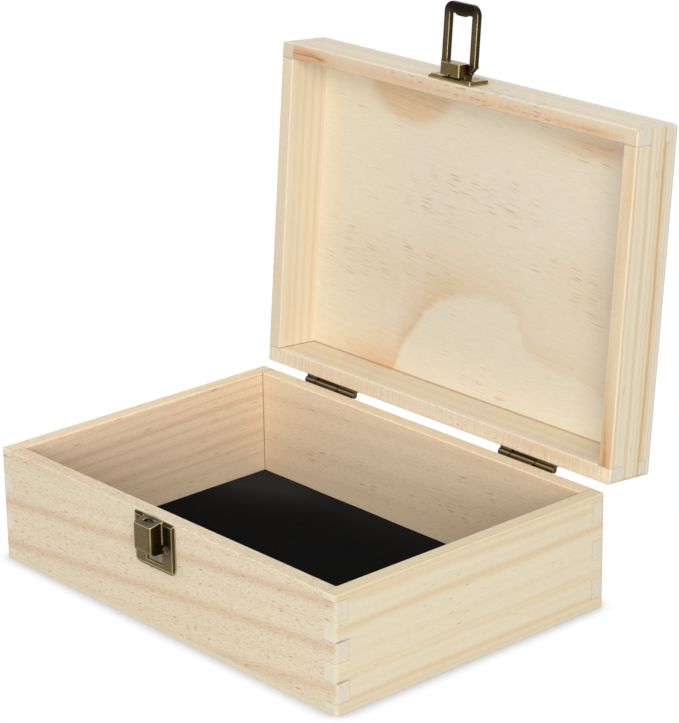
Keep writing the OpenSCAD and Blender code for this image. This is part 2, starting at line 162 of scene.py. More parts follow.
class Graph:
    """The shader nodes of one material, lamp or world."""

    def __init__(self, owner: bpy.types.Material | bpy.types.World) -> None:
        """Empties the owner's node tree and keeps it."""
        owner.use_nodes = True
        self.tree = owner.node_tree
        self.tree.nodes.clear()

    def node(self, kind: str, settings: dict, inputs: dict) -> bpy.types.Node:
        """Adds any node.

        Args:
            kind: The node's type name.
            settings: Its properties, set first.
            inputs: A value or a Wire for each input, by name or number.

        Returns:
            The node.
        """
        made = self.tree.nodes.new(kind)
        for key, value in settings.items():
            setattr(made, key, value)
        for key, value in inputs.items():
            if isinstance(value, Wire):
                self.tree.links.new(value.socket, made.inputs[key])
            else:
                made.inputs[key].default_value = value
        return made

    def line(self, level: Wire, turns: list[tuple[float, float]]) -> Wire:
        """Draws a line that is straight between its turns.

        Args:
            level: The place along the line, 0 to 1.
            turns: Place and height of each turn in order, 0 to 1.

        Returns:
            The line's height.
        """
        made = self.node("ShaderNodeValToRGB", {}, {0: level})
        stops = made.color_ramp.elements
        while len(stops) < len(turns):
            stops.new(1.0)
        for stop, (place, height) in zip(stops, turns):
            stop.position = place
            stop.color = (height, height, height, 1.0)
        return Wire(self, made.outputs[0])

    def out(self, kind: str, settings: dict, inputs: dict, output: str | int = 0) -> Wire:
        """Adds any node and gives one of its outputs, by name or number."""
        return Wire(self, self.node(kind, settings, inputs).outputs[output])

    def math(self, operation: str, *values: Wire | float) -> Wire:
        """Adds a Math node with its inputs in order."""
        return self.out("ShaderNodeMath", {"operation": operation}, dict(enumerate(values)))

    def mix(self, amount: Wire | float, first: Wire | Colour, second: Wire | Colour) -> Wire:
        """Blends two colours, where amount is the share of the second."""
        inputs = {0: amount, 6: first, 7: second}
        return self.out("ShaderNodeMix", {"data_type": "RGBA"}, inputs, 2)

    def shade(self, colour: Wire, gain: Wire) -> Wire:
        """Scales a colour's brightness by a gain."""
        inputs = {0: colour, "Scale": gain}
        return self.out("ShaderNodeVectorMath", {"operation": "SCALE"}, inputs)

    def place(self, seat: Seat) -> tuple[Wire, Wire, Wire]:
        """Gives the place on the piece in millimetres, as it lies in the shut box.

        Args:
            seat: The half of the box that the piece belongs to.

        Returns:
            x, y and z.
        """
        angle, scale = math.radians(seat.value), 1 / MM
        shift = (HINGE_AXIS - Matrix.Rotation(angle, 3, "X") @ HINGE_AXIS) * scale
        inputs = {"Vector": self.out("ShaderNodeTexCoord", {}, {}, "Object"), "Location": shift,
                  "Rotation": (angle, 0.0, 0.0), "Scale": (scale, scale, scale)}
        return self.split(self.out("ShaderNodeMapping", {"vector_type": "POINT"}, inputs))

    def facing(self, seat: Seat) -> tuple[Wire, Wire, Wire]:
        """Gives the way that the surface faces, as it lies in the shut box.

        Args:
            seat: The half of the box that the piece belongs to.

        Returns:
            The parts of the normal along x, y and z.
        """
        normal = self.out("ShaderNodeTexCoord", {}, {}, "Normal")
        settings = {"vector_type": "VECTOR"}
        inputs = {"Vector": normal, "Rotation": (math.radians(seat.value), 0.0, 0.0)}
        return self.split(self.out("ShaderNodeMapping", settings, inputs))

    def split(self, vector: Wire) -> tuple[Wire, Wire, Wire]:
        """Splits a vector into its three parts."""
        made = self.node("ShaderNodeSeparateXYZ", {}, {0: vector})
        return tuple(Wire(self, made.outputs[i]) for i in range(3))

    def point(self, first: Wire | float, second: Wire | float, third: Wire | float) -> Wire:
        """Joins three numbers into a vector."""
        return self.out("ShaderNodeCombineXYZ", {}, {0: first, 1: second, 2: third})

    def noise(self, spot: tuple[Wire | float, ...], detail: float, rough: float,
              seed: float) -> Wire:
        """Gives soft noise around 0.5, with blobs about one unit wide.

        Args:
            spot: Where it is read.
            detail: Number of finer layers.
            rough: Weight of the finer layers.
            seed: Slice of the pattern.

        Returns:
            The noise.
        """
        inputs = {"Vector": self.point(*spot), "W": seed, "Scale": 1.0, "Detail": detail,
                  "Roughness": rough}
        return self.out("ShaderNodeTexNoise", {"noise_dimensions": "4D"}, inputs)

    def bump(self, height: Wire, distance: float, strength: float) -> Wire:
        """Turns a height of 0 to 1, over a distance in metres, into a tilted normal."""
        inputs = {"Height": height, "Distance": distance, "Strength": strength}
        return self.out("ShaderNodeBump", {}, inputs, "Normal")

    def surface(self, inputs: dict) -> None:
        """Ends the graph in one Principled shader with these inputs."""
        shader = self.out("ShaderNodeBsdfPrincipled", {}, inputs, "BSDF")
        self.node("ShaderNodeOutputMaterial", {}, {"Surface": shader})


def hinge_axis() -> Vector:
    """Reads the lid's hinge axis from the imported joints."""
    joints = {joint["name"]: joint for joint in frame["record"]["behaviour"]["joints"]}
    return Vector((0.0, *joints["lid_hinge"]["pos_m"][1:]))


HINGE_AXIS = hinge_axis()


@dataclass(frozen=True)
class Ring:
    """A growth ring that shows as a soft band along a board, in millimetres."""

    at: float
    half: float
    depth: float
    lean: float = 0.0


@dataclass(frozen=True)
class Spot:
    """A soft oval on a board: its middle along and across the grain, its half sizes and depth."""

    along: float
    across: float
    long: float
    wide: float
    depth: float

    def mask(self, u: Wire, v: Wire) -> Wire:
        """Draws the oval up to its depth, from millimetres along and across the grain."""
        a, b = (u - self.along) / self.long, (v - self.across) / self.wide
        return u.graph.math("EXPONENT", -(a * a + b * b)) * self.depth


@dataclass(frozen=True)
class Timber:
    """Colours of one board of unfinished pine, with far for the side away from its main face."""

    pale: Colour = rgb(228, 215, 190)
    far: Colour = rgb(228, 215, 190)
    ring: Colour = rgb(208, 181, 149)
    stain: Colour = rgb(214, 176, 136)
    deep: Colour = rgb(178, 120, 90)
    tick: Colour = rgb(164, 128, 94)
    rim: Colour = rgb(228, 212, 182)
    end: Colour = rgb(227, 218, 199)
    end_dark: Colour = rgb(214, 201, 179)


@dataclass(frozen=True)
class TickFinish:
    """Short resin ticks that lie along the grain, close together in some places."""

    spread: float
    long: float = 4.6
    wide: float = 0.8
    clusters: tuple[Spot, ...] = ()
    seed: float = 0.0

    def mask(self, u: Wire, v: Wire, w: Wire) -> Wire:
        """Scatters the ticks.

        Args:
            u: Millimetres along the grain.
            v: Millimetres across it.
            w: Millimetres into the board.

        Returns:
            The ticks, 0 to 1.
        """
        graph = u.graph
        spot = graph.point(u / self.long, v / self.wide, w / self.wide + self.seed)
        cell = graph.node("ShaderNodeTexVoronoi", {}, {"Vector": spot, "Scale": 1.0})
        pick, depth, _ = graph.split(Wire(graph, cell.outputs["Color"]))
        shape = Wire(graph, cell.outputs["Distance"]).soft(0.40, 0.14)
        share: Wire | float = self.spread
        for cluster in self.clusters:
            share = cluster.mask(u, v) + share
        chosen = (pick + share).soft(1.0, 1.12)
        return shape * chosen * (depth * depth * 0.75 + 0.25)


@dataclass(frozen=True)
class Joints:
    """The finger joints of one ring of boards: where the glue lines are."""

    rim: float
    first: float
    pitch: float
    up: float

    def lines(self, z: Wire, end: Wire) -> Wire:
        """Draws the thin dark glue lines beside a corner.

        Args:
            z: Height in millimetres.
            end: 1 where two boards meet.

        Returns:
            The lines, 0 to 1.
        """
        steps = ((z - self.rim) * self.up - self.first) / self.pitch + 0.5
        away = abs(z.graph.math("FRACT", steps) - 0.5) * self.pitch
        broken = z.graph.noise((z * 0.09, z * 0.05, 2.5), 1.0, 0.5, self.first)
        inner = abs(z - self.rim).soft(0.8, 1.2)
        return away.soft(0.28, 0.06) * end * inner * (broken.soft(0.35, 0.6) * 0.7 + 0.3)


@dataclass(frozen=True)
class BoardPlace:
    """A place on a board in millimetres.

    u runs along the grain, v across it, w into the board from its main face and z up. rim is 1
    where the surface lies level.
    """

    u: Wire
    v: Wire
    w: Wire
    z: Wire
    rim: Wire


@dataclass(frozen=True)
class PineFinish:
    """Sawn and sanded pine whose grain follows the board through its whole thickness."""

    name: str
    seat: Seat
    along: Axis
    face: float
    joints: Joints
    rings: tuple[Ring, ...]
    ticks: TickFinish
    stains: tuple[Spot, ...] = ()
    # dark spots on the main face: painted shade where parts cover the board, and a few small marks
    shade_and_marks: tuple[Spot, ...] = ()
    rim_stains: tuple[Spot, ...] = ()
    lean: float = 0.0
    tilt: float = 0.5
    chatter: float = 0.0
    grain: float = 0.04
    seed: float = 0.0
    timber: Timber = Timber()

    def make(self) -> bpy.types.Material:
        """Builds the material.

        Returns:
            The pine material of this board.
        """
        material = bpy.data.materials.new(self.name)
        graph = Graph(material)
        x, y, z = graph.place(self.seat)
        nx, ny, nz = graph.facing(self.seat)
        u, side, nu = (x, y, nx) if self.along is Axis.ACROSS else (y, x, ny)
        w = side - self.face
        drift = graph.noise((u * 0.02, z * 0.05, w * 0.05), 2.0, 0.5, self.seed) - 0.5
        v = z + w * self.tilt + drift * 2.2
        level = v - u * self.lean
        at = BoardPlace(u, v, w, z, abs(nz))
        fine = graph.noise((u * 0.012, level * 0.9, w * 0.5), 3.0, 0.7, self.seed + 3)
        thread = graph.noise((u * 0.25, level * 1.3, w * 1.3), 2.0, 0.7, self.seed + 5)
        cloud = graph.noise((u * 0.05, level * 0.16, w * 0.1), 3.0, 0.6, self.seed + 7)
        fuzz = graph.noise((u * 1.2, z * 1.7, w * 1.7), 2.0, 0.7, self.seed + 6)
        ticks = self.ticks.mask(u, level, w)
        rings = self._rings(at) + (fine - 0.5) * 0.6 + (cloud - 0.5) * 0.3
        pale = graph.mix(abs(w).soft(5.0, 7.0), self.timber.pale, self.timber.far)
        colour = graph.mix(rings.clipped(), pale, self.timber.ring)
        colour = graph.mix(at.rim.soft(0.8, 0.95) * 0.5, colour, self.timber.rim)
        colour = graph.mix(ticks, self._stained(at, colour, fine), self.timber.tick)
        flecks = (fuzz - 0.5) * 2.2 + 0.13 - thread.soft(0.50, 0.68) * 0.48
        colour = graph.shade(colour, 1.0 + (cloud - 0.5) * 0.05 + flecks * self.grain)
        colour = graph.mix(abs(nu).soft(0.6, 0.8), colour, self._end(at))
        end, inner = (value - WALL for value in self.along.value)
        glue = self.joints.lines(z, abs(u).soft(end - 0.3, end + 0.1))
        meet = abs(side).soft(inner + 0.4, inner + 0.1) * abs(u).soft(end - 0.5, end - 0.2)
        meet = meet * (1.0 - abs(nu).soft(0.3, 0.6) * 0.75)
        # abs(nx * ny) paints shade on the eased upright corners, where the lamp at the camera's
        # side lights them most
        colour = graph.shade(colour, 1.0 - glue * 0.16 - abs(nx * ny) * 0.22 - meet * 0.4)
        # painted shade and small marks from the list of dark spots, on the main face only
        for spot in self.shade_and_marks:
            colour = graph.shade(colour, 1.0 - spot.mask(u, z) * abs(w).soft(0.6, 0.2))
        colour = graph.shade(colour, 1.0 + self._saw(at))
        normal = graph.bump(fine * 0.5 + thread * 0.4 - ticks * 0.4 - glue * 0.6, 0.00022, 0.4)
        graph.surface({"Base Color": colour, "Roughness": 0.64 + (thread - 0.5) * 0.14,
                       "Specular IOR Level": 0.22, "Normal": normal})
        return material

    def _rings(self, at: BoardPlace) -> Wire:
        """Lays the growth rings across the board.

        Args:
            at: The place on the board.

        Returns:
            Depth of the ring colour.
        """
        depth: Wire | float = 0.0
        for ring in self.rings:
            depth = (at.v - at.u * ring.lean).hump(ring.at, ring.half) * ring.depth + depth
        return depth

    def _stained(self, at: BoardPlace, colour: Wire, fine: Wire) -> Wire:
        """Warms the board where it is stained by resin, on the rim only up to its neighbour.

        Args:
            at: The place on the board.
            colour: The colour without stains.
            fine: The fine grain.

        Returns:
            The colour with its stains.
        """
        graph, end = at.u.graph, self.along.value[0] - WALL
        depth: Wire | float = 0.0
        for stain in self.stains:
            depth = stain.mask(at.u, at.v) + depth
        for stain in self.rim_stains:
            within = at.rim * abs(at.u).soft(end + 0.2, end - 0.2)
            depth = stain.mask(at.u, at.w) * within + depth
        if isinstance(depth, float):
            return colour
        fibre = graph.noise((at.u * 0.03, at.v * 1.5, at.w * 1.8), 2.0, 0.6, self.seed + 12)
        colour = graph.mix((depth * (fine * 1.4 + 0.3)).clipped(), colour, self.timber.stain)
        lines = depth.soft(0.6, 1.0) * fibre.soft(0.50, 0.60)
        return graph.mix(lines * 0.8, colour, self.timber.deep)

    def _saw(self, at: BoardPlace) -> Wire:
        """Leaves the saw's chatter across the rim, and across the face where it wasn't sanded.

        Args:
            at: The place on the board.

        Returns:
            Change of brightness.
        """
        graph, u, w, z = at.u.graph, at.u, at.w, at.z
        marks = graph.noise((u * 0.9, w * 0.06, z * 0.06), 2.0, 0.6, self.seed + 9)
        patch = graph.noise((u * 0.03, w * 0.1, z * 0.1), 1.0, 0.5, self.seed + 10)
        reach = at.rim.soft(0.8, 0.95) * (0.12 + self.chatter * 0.5)
        return (marks - 0.5) * (reach + patch.soft(0.35, 0.6) * self.chatter)

    def _end(self, at: BoardPlace) -> Wire:
        """Colours the end grain.

        Args:
            at: The place on the board.

        Returns:
            The colour of the end grain.
        """
        graph, w, z = at.u.graph, at.w, at.z
        spot = (0.0, (z + w * 0.9) * 0.9, (w - z * 0.5) * 0.18)
        arcs = graph.noise(spot, 3.0, 0.6, self.seed + 17)
        pores = graph.noise((0.0, z * 2.0, w * 2.0), 2.0, 0.6, self.seed + 19)
        dark = (arcs.soft(0.42, 0.75) * 0.6 + pores.soft(0.5, 0.85) * 0.3).clipped()
        return graph.mix(dark, self.timber.end, self.timber.end_dark)


@dataclass(frozen=True)
class VeneerFinish:
    """A thin plywood panel: a figured face veneer and edges with glue lines."""

    name: str
    seat: Seat
    under: float
    seed: float = 0.0
    glue: float = 0.5
    slant: float = 0.08
    cream: Colour = rgb(229, 219, 198)
    straw: Colour = rgb(231, 221, 195)
    tan: Colour = rgb(219, 184, 142)
    deep: Colour = rgb(200, 150, 106)
    line: Colour = rgb(172, 123, 84)
    edge: Colour = rgb(232, 222, 203)
    edge_line: Colour = rgb(186, 172, 150)

    def make(self) -> bpy.types.Material:
        """Builds the material.

        Returns:
            The panel's material.
        """
        material = bpy.data.materials.new(self.name)
        graph = Graph(material)
        x, y, z = graph.place(self.seat)
        nz = graph.facing(self.seat)[2]
        outer = nz.soft(-0.1, 0.1)
        seam = graph.math("MAXIMUM", abs(y).soft(68.0, 68.5), x.soft(102.0, 102.5))
        # painted light: the inner face is painted brighter beside the front board, against the
        # shade that board casts there
        painted_lift = y.soft(-58.0, -69.0) * (1.0 - outer)
        x, y = x * (1.0 - outer * 2.0) + outer * 22.0, y + outer * 24.0
        level = y - x * self.slant
        wander = graph.noise((x * 0.03, y * 0.07, 0.0), 3.0, 0.6, self.seed) - 0.5
        ragged = graph.noise((x * 0.05, level * 0.8, 0.0), 3.0, 0.6, self.seed + 1) - 0.5
        fine = graph.noise((x * 0.015, level * 0.7, 0.0), 3.0, 0.7, self.seed + 2)
        thread = graph.noise((x * 0.15, level * 1.4, 0.0), 2.0, 0.7, self.seed + 4)
        band = self._arch(x, y + wander * 5.0, ragged)
        warm = self._warm(x, y + wander * 5.0)
        straw = (x.soft(-30.0, -75.0) * 0.7 + (wander + 0.1) * 0.6).clipped()
        colour = graph.mix(straw, self.cream, self.straw)
        depth = (band + warm) * (fine * 1.1 + 0.4) + (fine - 0.5) * 0.30
        colour = graph.mix(depth.clipped(), colour, self.tan)
        streak = warm.soft(0.3, 0.8) * fine.soft(0.5, 0.75)
        streak = streak + band.soft(0.5, 1.0) * ragged.soft(0.0, 0.3)
        colour = graph.mix((streak * 0.45).clipped(), colour, self.deep)
        ticks = self._ticks().mask(x, level, z * 0.0)
        colour = graph.mix(ticks, colour, self.line)
        colour = graph.mix(seam * (-nz).soft(0.5, 0.8) * 0.6, colour, self.line)
        colour = graph.shade(colour, 1.02 - thread.soft(0.42, 0.68) * 0.055 + painted_lift * 0.13)
        colour = graph.mix(abs(nz).soft(0.8, 0.5), colour, self._edge(x, y, z))
        normal = graph.bump(fine * 0.5 + thread * 0.5 - ticks * 0.3, 0.0002, 0.3)
        graph.surface({"Base Color": colour, "Roughness": 0.62 + (thread - 0.5) * 0.12,
                       "Specular IOR Level": 0.22, "Normal": normal})
        return material

    def _arch(self, x: Wire, y: Wire, ragged: Wire) -> Wire:
        """Draws the warm band round the arch where the veneer cuts through a growth ring.

        Args:
            x: Millimetres along the panel.
            y: Millimetres across it.
            ragged: Fine noise along the grain that tears the band's edge.

        Returns:
            Depth of the band.
        """
        graph = x.graph
        turns = ((-110, 95), (-48, 69), (-42, 55), (-35, 45), (-28, 35), (-20, 28), (-8, 23),
                 (5, 20.5), (15, 20), (25, 22), (32, 30), (35, 38), (50, 42), (70, 44), (110, 56))
        wide = 2 * HALF_WIDE
        shares = [((place + HALF_WIDE) / wide, height / 100) for place, height in turns]
        lift = graph.line((x + HALF_WIDE) / wide, shares) * 100.0
        above = y - lift + ragged * 7.0
        inside = above.soft(4.0, -2.0)
        fade = graph.math("EXPONENT", graph.math("MINIMUM", above + 2.0, 0.0) * 0.065)
        strong = x.soft(20.0, -30.0) * 0.38 + 0.32
        return inside * fade * strong

    def _warm(self, x: Wire, y: Wire) -> Wire:
        """Draws the warm spots near the panel's borders.

        Args:
            x: Millimetres along the panel.
            y: Millimetres across it.

        Returns:
            Depth of the warm colour.
        """
        eye_x, eye_y = (x + 45.0) / 29.0, (y + 68.0) / 21.0
        depth = x.graph.math("SQRT", eye_x * eye_x + eye_y * eye_y).soft(1.15, 0.75) * 0.75
        for spot in (Spot(68, -58, 24, 5, 0.75), Spot(-62, 67, 18, 8, 0.35),
                     Spot(75, 5, 30, 16, 0.25), Spot(-60, 20, 40, 14, 0.25)):
            depth = depth + spot.mask(x, y)
        return depth

    def _ticks(self) -> TickFinish:
        """Lists the places where the panel's ticks lie close together.

        Returns:
            The ticks' finish.
        """
        spots = (Spot(-88, 28, 16, 5, 0.75), Spot(-68, 17, 24, 9, 0.6), Spot(-32, -11, 18, 7, 0.7),
                 Spot(-5, -20, 24, 8, 0.7), Spot(20, -26, 24, 8, 0.7), Spot(65, 0, 24, 8, 0.65),
                 Spot(75, 13, 14, 6, 0.6), Spot(15, 63, 16, 4, 0.5), Spot(-5, 56, 20, 6, 0.35),
                 Spot(30, 12, 14, 4, 0.5), Spot(66, -56, 22, 6, 0.7), Spot(-25, 12, 30, 5, 0.4))
        clusters = tuple(Spot(s.along, s.across - s.along * self.slant, s.long, s.wide, s.depth)
                         for s in spots)
        return TickFinish(0.08, long=13.0, wide=0.46, clusters=clusters, seed=self.seed)

    def _edge(self, x: Wire, y: Wire, z: Wire) -> Wire:
        """Draws the plies on the panel's edge: pale wood between thin glue lines.

        Args:
            x: Millimetres along the panel.
            y: Millimetres across it.
            z: Millimetres up.

        Returns:
            The colour of the edge.
        """
        graph, level = x.graph, (z - self.under) / PANEL
        lines = (level.hump(0.06, 0.07) + level.hump(0.9, 0.08)) * self.glue
        pores = graph.noise((x * 0.9, y * 0.9, z * 2.5), 3.0, 0.6, self.seed + 10)
        colour = graph.mix(lines.clipped(), self.edge, self.edge_line)
        return graph.shade(colour, 0.97 + (pores - 0.5) * 0.18)


class Turn(Enum):
    """The two directions between which a metal piece's own round edges turn."""

    UPRIGHT = (0, 1)
    SIDEWAYS = (0, 2)
    BARREL = (1, 2)


@dataclass(frozen=True)
class BrassFinish:
    """Antique brass: painted shade in hollows and beside parts, painted gold on its rounded edges.

    front, up, down and side tell how much lighter the faces that look that way while the box is
    shut are painted, as painted light and shade, and front_glint how far the front is painted up
    to gold as a painted highlight. sloped tells how dark the border of a pressed plate is painted
    as shade, outline how dark a round piece is painted where it turns away from the view.
    """

    name: str
    seat: Seat
    front: float = 0.75
    up: float = 0.5
    down: float = 0.3
    side: float = 0.1
    turn: Turn = Turn.UPRIGHT
    shine: float = 0.8
    sloped: float = 0.0
    outline: float = 0.0
    front_glint: float = 0.0
    shade_spots: tuple[Spot, ...] = ()
    seed: float = 0.0
    # colour of the painted shade
    shade_colour: Colour = rgb(24, 18, 8)
    dark: Colour = rgb(50, 38, 16)
    # colour of the faces painted as lit
    lit_face: Colour = rgb(122, 107, 70)
    # colour of the painted highlight
    gold: Colour = rgb(196, 172, 114)

    def make(self) -> bpy.types.Material:
        """Builds the material.

        Returns:
            The brass material.
        """
        material = bpy.data.materials.new(self.name)
        graph = Graph(material)
        x, y, z = graph.place(self.seat)
        nx, ny, nz = graph.facing(self.seat)
        patches = graph.noise((x * 0.6, y * 0.6, z * 0.6), 3.0, 0.6, self.seed)
        grit = graph.noise((x * 4.0, y * 4.0, z * 4.0), 2.0, 0.6, self.seed + 2)
        # painted light and shade: each face is painted lighter or darker by the way it faces in the
        # shut box
        facing_light = (-ny).soft(0.3, 0.95) * self.front + nz.soft(0.3, 0.95) * self.up
        facing_light = facing_light + (-nz).soft(0.3, 0.95) * self.down + abs(nx).soft(0.5, 0.95) * self.side
        colour = graph.mix((facing_light + (patches - 0.5) * 0.4).clipped(), self.dark, self.lit_face)
        # painted shade on the sloped border of a pressed plate
        leaning = (graph.math("MAXIMUM", abs(nx), abs(nz)) * abs(ny) * 2.0).between(0.7, 0.9, 0.04)
        colour = graph.mix(leaning * self.sloped, colour, self.dark)
        # painted highlight: gold on round edges, on the eased strips and on faces that look to the
        # front
        first, second = ((nx, ny, nz)[i] for i in self.turn.value)
        turned = (abs(first * second) * 2.0).soft(0.9, 0.97)
        eased = graph.out("ShaderNodeAttribute", {"attribute_name": "painted_glint"}, {}, "Fac")
        edge_and_front_glint = graph.math("MAXIMUM", eased, (-ny).soft(0.9, 0.98) * self.front_glint)
        painted_glint = graph.math("MAXIMUM", turned, edge_and_front_glint) * (0.6 + patches * 0.8) * self.shine
        colour = graph.mix(painted_glint.clipped(), colour, self.gold)
        # painted shade from the listed dark spots: beside parts, in gaps and slots, and on the
        # loop's end bar
        for shade_spot in self.shade_spots:
            colour = graph.mix(shade_spot.mask(x, z), colour, self.shade_colour)
        # painted shade where a round piece turns away from the view
        if self.outline:
            turn = graph.out("ShaderNodeLayerWeight", {}, {"Blend": 0.5}, "Facing")
            colour = graph.mix(turn.soft(0.15, 0.55) * self.outline, colour, self.shade_colour)
        rough = 0.30 + (grit - 0.5) * 0.16 + (patches - 0.5) * 0.1
        graph.surface({"Base Color": colour, "Metallic": 0.95, "Roughness": rough,
                       "Normal": graph.bump(grit, 0.00006, 0.4)})
        return material


@dataclass(frozen=True)
class FeltFinish:
    """Pressed black felt with a dry, greyish nap."""

    name: str = "black_felt"
    black: Colour = rgb(14, 14, 15)
    nap: Colour = rgb(45, 46, 46)

    def make(self) -> bpy.types.Material:
        """Builds the material.

        Returns:
            The felt material.
        """
        material = bpy.data.materials.new(self.name)
        graph = Graph(material)
        x, y, z = graph.place(Seat.BASE)
        fibre = graph.noise((x * 2.2, y * 2.2, z * 2.2), 4.0, 0.7, 1.0)
        cloud = graph.noise((x * 0.04, y * 0.04, 0.0), 2.0, 0.5, 4.0)
        # painted highlight: the nap is painted lighter towards the back left corner, where light
        # catches the felt
        painted_highlight = Spot(-98, 62, 30, 22, 1.2).mask(x, y)
        painted_highlight = Spot(-40, 66, 70, 14, 0.35).mask(x, y) + painted_highlight
        amount = fibre.soft(0.35, 0.8) * 0.35 + (cloud - 0.4) * 0.15 + painted_highlight
        colour = graph.mix(amount.clipped(), self.black, self.nap)
        graph.surface({"Base Color": colour, "Roughness": 1.0, "Specular IOR Level": 0.0,
                       "Sheen Weight": 0.015, "Sheen Roughness": 0.5,
                       "Sheen Tint": rgb(200, 200, 205),
                       "Normal": graph.bump(fibre, 0.0004, 0.6)})
        return material


@dataclass(frozen=True)
class Studio:
    """The photograph's camera, a white floor and plain soft light."""

    eye: Numbers = (878.81, -756.48, 517.42)
    azimuth: float = 48.32
    elevation: float = 19.75
    roll: float = -0.86
    lens: float = 144.42
    sensor: float = 36.0
    ambient: float = 0.37
    floor_half: float = 6.0

    def camera(self) -> None:
        """Sets the camera at the photograph's angle."""
        az, el, roll = (math.radians(a) for a in (self.azimuth, self.elevation, self.roll))
        back = Vector((math.sin(az) * math.cos(el), -math.cos(az) * math.cos(el), math.sin(el)))
        right = (-back).cross(Vector((0.0, 0.0, 1.0))).normalized()
        up = right.cross(-back)
        side = right * math.cos(roll) + up * math.sin(roll)
        top = up * math.cos(roll) - right * math.sin(roll)
        turn = Matrix((side, top, back)).transposed().to_4x4()
        lens = bpy.data.cameras.new("photo_camera")
        lens.sensor_fit = "VERTICAL"
        lens.sensor_height = self.sensor
        lens.lens = self.lens
        camera = bpy.data.objects.new("photo_camera", lens)
        camera.matrix_world = Matrix.Translation(Vector(self.eye) * MM) @ turn
        bpy.context.collection.objects.link(camera)
        bpy.context.scene.camera = camera

    def floor(self) -> None:
        """Lays the white floor, with a short contact shadow painted in from ambient occlusion."""
        mesh = bpy.data.meshes.new("white_floor")
        shape = bmesh.new()
        bmesh.ops.create_grid(shape, x_segments=1, y_segments=1, size=self.floor_half)
        shape.to_mesh(mesh)
        shape.free()
        floor = bpy.data.objects.new("white_floor", mesh)
        bpy.context.collection.objects.link(floor)
        material = bpy.data.materials.new("white_floor")
        graph = Graph(material)
        # painted shadow: ambient occlusion darkens the colour that the camera sees near the box
        near = graph.out("ShaderNodeAmbientOcclusion", {"samples": 16}, {"Distance": 9 * MM}, "AO")
        shadow = near.soft(0.25, 0.98)
        tone = graph.mix(shadow, rgb(186, 184, 183), (1.0, 1.0, 1.0, 1.0))
        seen = graph.out("ShaderNodeEmission", {}, {"Color": tone, "Strength": 1.0})
        lit = graph.out("ShaderNodeBsdfDiffuse", {}, {"Color": rgb(204, 203, 201)})
        both = graph.out("ShaderNodeMixShader", {}, {0: self._direct(graph), 1: lit, 2: seen})
        graph.node("ShaderNodeOutputMaterial", {}, {"Surface": both})
        mesh.materials.append(material)

    @staticmethod
    def _direct(graph: Graph) -> Wire:
        """Tells a ray that shows the background from one that carries light.

        Args:
            graph: The graph that asks.

        Returns:
            1 for camera, glossy and see-through rays.
        """
        ray = graph.node("ShaderNodeLightPath", {}, {})
        kinds = ("Is Camera Ray", "Is Glossy Ray", "Is Transmission Ray")
        seen, glossy, through = (Wire(graph, ray.outputs[kind]) for kind in kinds)
        return (seen + glossy + through).clipped()

    def light(self) -> None:
        """Lights the box softly from all round, with the strongest lamp at the camera's side."""
        world = bpy.data.worlds.new("studio")
        bpy.context.scene.world = world
        graph = Graph(world)
        plain = {"Color": (1.0, 1.0, 1.0, 1.0), "Strength": self.ambient}
        white = {"Color": (1.0, 1.0, 1.0, 1.0), "Strength": 1.0}
        soft = graph.out("ShaderNodeBackground", {}, plain)
        seen = graph.out("ShaderNodeBackground", {}, white)
        both = graph.out("ShaderNodeMixShader", {}, {0: self._direct(graph), 1: soft, 2: seen})
        graph.node("ShaderNodeOutputWorld", {}, {"Surface": both})
        self._lamp("camera_side", (1.95, -2.09, 1.05), 2.2, 78.0)
        self._lamp("overhead", (0.10, 0.15, 1.60), 0.9, 5.6)
        self._lamp("behind", (-0.60, 3.00, 0.50), 1.6, 33.0)
        self._lamp("left", (-3.00, 0.30, 0.50), 1.6, 25.0)

    @staticmethod
    def _lamp(name: str, spot: Numbers, size: float, power: float) -> None:
        """Hangs a square soft lamp that looks at the box.

        Args:
            name: The lamp's name.
            spot: Its place in metres.
            size: Its side in metres.
            power: Its power in watts.
        """
        data = bpy.data.lights.new(name, "AREA")
        data.size = size
        data.energy = power
        lamp = bpy.data.objects.new(name, data)
        away = Vector(spot) - Vector((0.0, 0.0, 0.1))
        turn = away.to_track_quat("Z", "Y").to_matrix().to_4x4()
        lamp.matrix_world = Matrix.Translation(spot) @ turn
        bpy.context.collection.objects.link(lamp)


def dress(node: str, material: bpy.types.Material) -> None:
    """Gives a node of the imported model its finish.

    Args:
        node: The node's name.
        material: The finish.
    """
    mesh = frame["nodes"][node].data
    mesh.materials.clear()
    mesh.materials.append(material)
    LOG.info("dressed %s in %s", node, material.name)


